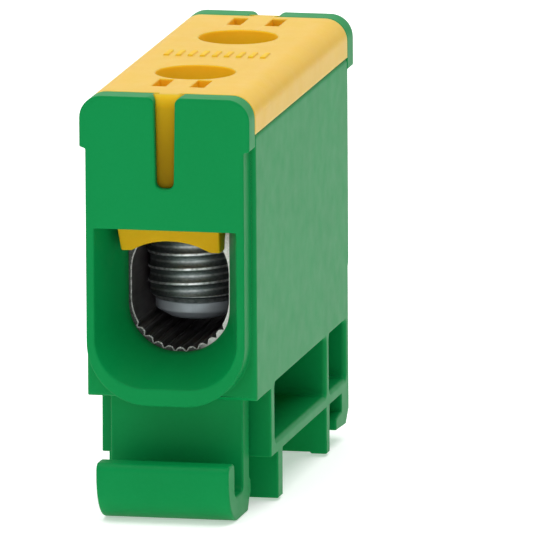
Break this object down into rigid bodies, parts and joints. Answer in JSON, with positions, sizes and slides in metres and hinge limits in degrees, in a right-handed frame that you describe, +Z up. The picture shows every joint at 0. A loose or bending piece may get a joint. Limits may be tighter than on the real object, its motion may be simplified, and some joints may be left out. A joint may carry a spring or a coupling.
{
  "type": "din rail terminal block",
  "caption": "Through-feed terminal block for a mounting rail: moulded housing, clip-on cover, bored metal connector, clamping screws and a sprung rail clip.",
  "frame": {"origin": "centre of the mounting rail, on the plane where the rail's flanges bear on the foot", "axes": "+Y along the wire, from the front entry (over the sprung clip) to the rear entry; +Z up, away from the rail; +X across the block, along the rail"},
  "size_m": [0.0176, 0.0518, 0.0435],
  "materials": {
    "housing_plastic": "fine moulded",
    "cover_plastic": "fine moulded",
    "connector_metal": "bright plated",
    "screw_steel": "zinc plated",
    "pad_steel": "zinc plated"
  },
  "bodies": {
    "block": {"housing": "housing_plastic", "connector_body": "connector_metal"},
    "cover": {"cover": "cover_plastic"},
    "rail_clip": {"rail_clip": "housing_plastic"},
    "front_pad": {"front_pressure_pad": "pad_steel"},
    "front_screw": {"front_clamp_screw": "screw_steel"},
    "rear_pad": {"rear_pressure_pad": "pad_steel"},
    "rear_screw": {"rear_clamp_screw": "screw_steel"}
  },
  "joints": [
    {"name": "cover_lift", "type": "slide", "parent": "block", "child": "cover", "axis": [0, 0, 1], "range_m": [0, 0.018]},
    {"name": "rail_clip_flex", "type": "hinge", "parent": "block", "child": "rail_clip", "pos_m": [0, -0.01912, 0.00702], "axis": [-1, 0, 0], "range_deg": [0, 7], "stiffness_Nm_per_rad": 0.1},
    {"name": "front_screw_travel", "type": "slide", "parent": "block", "child": "front_pad", "axis": [0, 0, 1], "range_m": [-0.0004, 0.0069]},
    {"name": "front_screw_turn", "type": "hinge", "parent": "front_pad", "child": "front_screw", "pos_m": [0, -0.01084, 0.0154], "axis": [0, 0, 1], "range_deg": [-96, 1656]},
    {"name": "rear_screw_travel", "type": "slide", "parent": "block", "child": "rear_pad", "axis": [0, 0, 1], "range_m": [-0.0004, 0.0069]},
    {"name": "rear_screw_turn", "type": "hinge", "parent": "rear_pad", "child": "rear_screw", "pos_m": [0, 0.00934, 0.0154], "axis": [0, 0, 1], "range_deg": [-96, 1656]}
  ],
  "couplings": [
    {"joint": "front_screw_turn", "follows": "front_screw_travel", "rad_per_m": 4188.8},
    {"joint": "rear_screw_turn", "follows": "rear_screw_travel", "rad_per_m": 4188.8}
  ]
}
